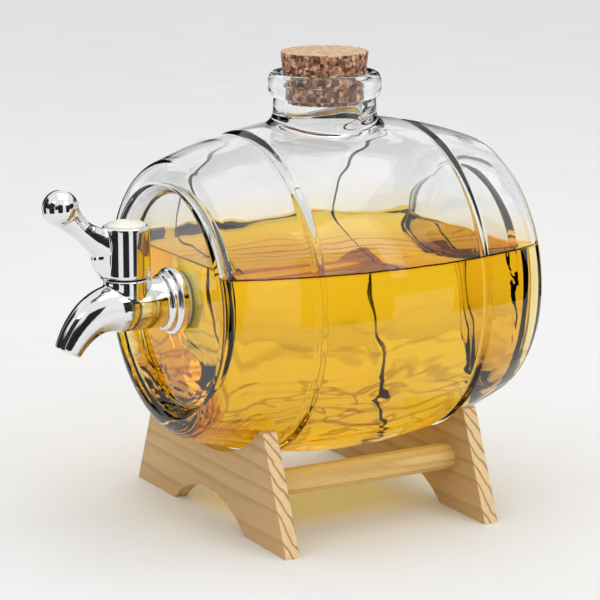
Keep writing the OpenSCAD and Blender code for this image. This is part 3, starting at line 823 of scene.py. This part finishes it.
def chrome_plate(name):
    """Polished chrome plate, with faint wipe marks in its polish."""
    made, tree, shader = new_material(name)
    shader.inputs["Metallic"].default_value = 1.0
    haze = add(tree, "TexNoise", Vector=in_mm(tree), Scale=0.25, Detail=3.0)
    shade = ramp(tree, haze.outputs["Fac"], (0.3, (0.80, 0.81, 0.83)), (0.7, (0.86, 0.87, 0.88)))
    tree.links.new(shade, shader.inputs["Base Color"])
    wipe = add(tree, "TexNoise", Vector=in_mm(tree, (0, 0, 0), (1, 0.3, 2)), Scale=1.5, Detail=4.0)
    tree.links.new(fade(tree, wipe.outputs["Fac"], 0.0, 1.0, 0.03, 0.10), shader.inputs["Roughness"])
    return made


chrome = chrome_plate("chrome_plate")
fit(body, chrome, "barrel", "chrome", "tap_body")

# Valve: inside the housing, a moulded plug with two rubber seals, kept in by a ring under the handle.
# A steel screw through the handle holds it on the plug's stem.

for node, surface in (("bonnet_ring", chrome), ("valve_plug", white_nylon), ("upper_seal", rubber),
                      ("lower_seal", rubber), ("handle_screw", bright_steel)):
    frame["nodes"][node].data.materials.clear()
    frame["nodes"][node].data.materials.append(surface)

# Handle: a chromed drum on the stem, with a lever that rises to a round knob over the spout.
# It is cast in one piece, and its top is recessed for the button.

low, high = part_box("tap_handle")
drum_foot, knob_r = low.z, 6.3 * mm
drum_r, drum_h, recess_r = 8.35 * mm, 18.2 * mm, 7.05 * mm
recess = 1.8 * mm
knob = Vector((0, low.y + knob_r, high.z - knob_r))
drum_edge, bar_edge = 0.5 * mm, 0.3 * mm
outline = [(0, 0), (drum_r, 0), (drum_r, drum_h), (recess_r, drum_h), (recess_r, drum_h - recess),
           (0, drum_h - recess)]
drum = turned("handle_drum", eased(outline, drum_edge), Vector((0, valve.y, drum_foot)), (0, 0, 1),
              steps=fine_steps)
# Sections of the lever's arm and of the web under it: forwards, up, half width and half height, in mm.
arm_line = [(5.0, 9.8, 3.7, 6.4), (8.5, 11.8, 3.8, 5.8), (11.5, 13.8, 3.8, 4.9), (14.5, 16.0, 3.7, 4.1),
            (17.3, 18.3, 3.7, 3.75), (19.6, 20.5, 3.9, 4.1), (21.6, 22.7, 4.4, 4.9), (23.4, 24.8, 4.9, 5.5)]
web_line = [(5.0, 0.8, 3.2, 4.3), (5.6, 2.2, 3.4, 5.2), (6.4, 5.0, 3.5, 6.3), (7.0, 8.0, 3.6, 6.4),
            (7.2, 11.0, 3.6, 6.0)]


def lever_stations(line):
    """The middle, direction and half sizes of each section of a bar of the lever, from its places in mm."""
    for i, (forwards, up, wide, tall) in enumerate(line):
        before, after = line[max(i - 1, 0)], line[min(i + 1, len(line) - 1)]
        way = Vector((0, before[0] - after[0], after[1] - before[1])).normalized()
        yield Vector((0, valve.y - forwards * mm, drum_foot + up * mm)), way, wide * mm, tall * mm


arm = swept("handle_arm", list(lever_stations(arm_line)))
web = swept("handle_web", list(lever_stations(web_line)))
for bar in (arm, web):
    modify(bar, "BEVEL", width=bar_edge, segments=1, limit_method="ANGLE", angle_limit=math.radians(60))
outline = [(knob_r * math.sin(a), -knob_r * math.cos(a)) for a in spread(0, math.pi, 65)]
ball = turned("handle_ball", outline, knob, (0, 0, 1), steps=128)
lever = cast_in_one("handle_casting", [drum, arm, web, ball], cast_grain, soften=16)
fit(lever, chrome, "handle", "chrome", "tap_handle")

# Button: a pale moulded disc with a low dome, pressed into the drum's top to hide the screw.
# Its face is plain and slightly glossy, with an eased foot that guides it in.

low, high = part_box("handle_button")
button_r, edge_h, foot_edge = (high.x - low.x) / 2, 1.8 * mm, 0.2 * mm
rise = high.z - low.z - edge_h
dome = [(button_r * math.cos(a), edge_h + rise * math.sin(a)) for a in spread(0, math.pi / 2, 24)]
outline = [(0, 0), (button_r - foot_edge, 0), (button_r, foot_edge)] + dome
button = turned("button_disc", outline, Vector((0, valve.y, low.z)), (0, 0, 1))
smooth_shade(button)
ivory = speckled("ivory_plastic", (0.80, 0.78, 0.68), (0.86, 0.84, 0.76), size=5.0, roughness=0.22, rise=0.01)
fit(button, ivory, "handle", "ivory_plastic", "handle_button")

# Cork: a tapered stopper of pressed cork grains, pushed into the neck by hand.
# Its side shows brown grains with dark gaps between them, and its top is paler.

low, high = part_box("cork_stopper")
cork_h = high.z - low.z
cork_top_r, cork_foot_r = 15.8 * mm, 13.6 * mm
cork_top_edge, cork_foot_edge = 0.5 * mm, 0.4 * mm
cork_side = [(cork_foot_r + (cork_top_r - cork_foot_r) * f, cork_h * f) for f in spread(0.03, 0.97, 90)]
cork_end = [(r, 0) for r in spread(0, cork_foot_r - cork_foot_edge, 60)]
cork_top = [(r, cork_h) for r in spread(cork_top_r - cork_top_edge, 0, 66)]
cork_foot = Vector((0, barrel_mid, low.z))
cork = turned("cork_bung", cork_end + cork_side + cork_top, cork_foot, (0, 0, 1), steps=320)
pits = bpy.data.textures.new("cork_pits", "VORONOI")
pits.noise_scale = 1.4 * mm
pits.distance_metric = "DISTANCE"
modify(cork, "DISPLACE", texture=pits, texture_coords="LOCAL", strength=-0.35 * mm, mid_level=0.25)
pick(cork)
bpy.ops.object.shade_smooth()


def pressed_cork():
    """Grains of cork in several browns, pressed together, with dark bark specks between them."""
    made, tree, shader = new_material("pressed_cork")
    grain_scale, gap_share, bark_share, top_pale_share = 0.72, 0.8, 0.85, 0.55
    place = in_mm(tree, cork_foot)
    grains = add(tree, "TexVoronoi", {"feature": "F1"}, Vector=place, Scale=grain_scale, Randomness=1.0)
    shade = add(tree, "SeparateColor", Color=grains.outputs["Color"]).outputs[0]
    colour = ramp(tree, shade, (0.0, (0.06, 0.024, 0.012)), (0.22, (0.20, 0.077, 0.037)),
                  (0.5, (0.42, 0.20, 0.11)), (0.8, (0.62, 0.335, 0.205)), (1.0, (0.82, 0.51, 0.35)))
    gaps = add(tree, "TexVoronoi", {"feature": "DISTANCE_TO_EDGE"}, Vector=place, Scale=grain_scale)
    edges = ramp(tree, gaps.outputs["Distance"], (0.0, (0.35, 0.27, 0.22)), (0.12, (1.0, 1.0, 1.0)))
    colour = mixed(tree, gap_share, colour, edges, "MULTIPLY")
    specks = add(tree, "TexNoise", Vector=place, Scale=1.3, Detail=4.0, Roughness=0.7).outputs["Fac"]
    bark = ramp(tree, specks, (0.36, (0.16, 0.09, 0.05)), (0.46, (1.0, 1.0, 1.0)))
    colour = mixed(tree, bark_share, colour, bark, "MULTIPLY")
    # Faces that look upwards are made paler than the side.
    upward = add(tree, "SeparateXYZ", Vector=add(tree, "NewGeometry").outputs["Normal"]).outputs["Z"]
    paler_top = mixed(tree, top_pale_share, colour, (0.80, 0.58, 0.37, 1.0))
    colour = mixed(tree, fade(tree, upward, 0.6, 0.9), colour, paler_top)
    tree.links.new(colour, shader.inputs["Base Color"])
    shader.inputs["Roughness"].default_value = 0.85
    bump(tree, shader, specks, strength=0.5, distance=0.25)
    return made


fit(cork, pressed_cork(), "cork", "cork", "cork_stopper")

# Studio: a plain pale paper floor in even pale air, with soft lamps overhead and at both sides.
# Black cards stand round the part for its metal to mirror, and the camera is at the photograph's angle.

floor_size = 14
pick()
bpy.ops.mesh.primitive_plane_add(size=floor_size, location=(0, 0, 0))
floor = bpy.context.object
floor.name = "floor"
paper, tree, shader = new_material("floor_paper")
fleck = add(tree, "TexNoise", Vector=in_mm(tree), Scale=0.02, Detail=2.0)
tree.links.new(ramp(tree, fleck.outputs["Fac"], (0.3, (0.80, 0.80, 0.80)), (0.7, (0.82, 0.82, 0.82))),
               shader.inputs["Base Color"])
shader.inputs["Roughness"].default_value = 0.9
shader.inputs["Specular IOR Level"].default_value = 0.0
floor.data.materials.append(paper)

scene = bpy.context.scene
scene.view_settings.view_transform = "Standard"
world = bpy.data.worlds.new("studio_air")
scene.world = world
world.use_nodes = True
air = world.node_tree
way = add(air, "TexCoord").outputs["Generated"]
height = add(air, "SeparateXYZ", Vector=way).outputs["Z"]
ceiling = ramp(air, height, (0.0, (0.02, 0.02, 0.02)), (0.34, (0.03, 0.03, 0.03)), (0.46, (0.9, 0.9, 0.9)))
round_about = add(air, "TexGradient", {"gradient_type": "RADIAL"}, Vector=way).outputs["Fac"]
repeat = add(air, "Math", {"operation": "PINGPONG"}, in0=round_about, in1=0.1).outputs[0]
panels = ramp(air, repeat, (0.060, (0.0, 0.0, 0.0)), (0.066, (0.95, 0.95, 0.95)))
mirrored = mixed(air, 1.0, ceiling, panels, "LIGHTEN")
rays = add(air, "LightPath").outputs
glossy = add(air, "Math", {"operation": "SUBTRACT", "use_clamp": True}, in0=rays["Is Glossy Ray"],
             in1=rays["Is Transmission Ray"]).outputs[0]
seen = mixed(air, glossy, (0.9, 0.9, 0.9, 1.0), mirrored)
air.links.new(seen, air.nodes["Background"].inputs["Color"])


def softbox(name, place, target, width, height, power):
    """A rectangular lamp at a place, turned to a target."""
    lamp = bpy.data.lights.new(name, "AREA")
    lamp.shape = "RECTANGLE"
    lamp.size, lamp.size_y, lamp.energy = width, height, power
    stand = bpy.data.objects.new(name, lamp)
    bpy.context.collection.objects.link(stand)
    stand.location = place
    stand.rotation_euler = (Vector(target) - Vector(place)).to_track_quat("-Z", "Y").to_euler()


flag_distance, flag_width, flag_height = 0.36, 0.17, 0.30
flag_gap, flag_turn = 45, 8
velvet = speckled("black_velvet", (0.004, 0.004, 0.004), (0.007, 0.007, 0.007),
                  size=20.0, roughness=0.9, rise=0.05)


def flag(turn):
    """A black card that stands on the floor at a turn round the part and shows only in mirrored light."""
    pick()
    bpy.ops.mesh.primitive_plane_add(size=1, location=(0, 0, 0))
    card = bpy.context.object
    card.name = "black_flag"
    away = Vector((math.sin(turn), -math.cos(turn), 0))
    along = Vector((math.cos(turn), math.sin(turn), 0))
    for vertex in card.data.vertices:
        middle = Vector((0, barrel_mid, (vertex.co.y + 0.5) * flag_height))
        vertex.co = away * flag_distance + along * vertex.co.x * flag_width + middle
    card.data.materials.append(velvet)
    card.visible_camera = card.visible_diffuse = card.visible_shadow = False
    card.visible_transmission = card.visible_volume_scatter = False


for turn in range(0, 360, flag_gap):
    flag(math.radians(turn + flag_turn))

target = Vector((0, barrel_mid - 4.5 * mm, 71 * mm))
softbox("top_softbox", (0.05, 0.15, 1.1), target, width=0.9, height=0.9, power=2.7)
softbox("left_softbox", (0.2, -1.0, 0.5), target, width=0.35, height=0.9, power=0.85)
softbox("right_softbox", (1.0, 0.35, 0.7), target, width=0.5, height=0.9, power=1.65)

azimuth, elevation, distance = math.radians(60.5), math.radians(12.8), 0.93
level_way = Vector((math.sin(azimuth), -math.cos(azimuth), 0))
back = level_way * math.cos(elevation) + Vector((0, 0, math.sin(elevation)))
right = Vector((math.cos(azimuth), math.sin(azimuth), 0))
up = back.cross(right)
view_right, view_up, view_width = -4.8 * mm, 4.2 * mm, 218 * mm
target += right * view_right + up * view_up
lens = bpy.data.cameras.new("camera")
lens.lens = lens.sensor_width * distance / view_width
camera = bpy.data.objects.new("camera", lens)
bpy.context.collection.objects.link(camera)
camera.location = target + back * distance
camera.rotation_euler = (-back).to_track_quat("-Z", "Y").to_euler()
scene.camera = camera
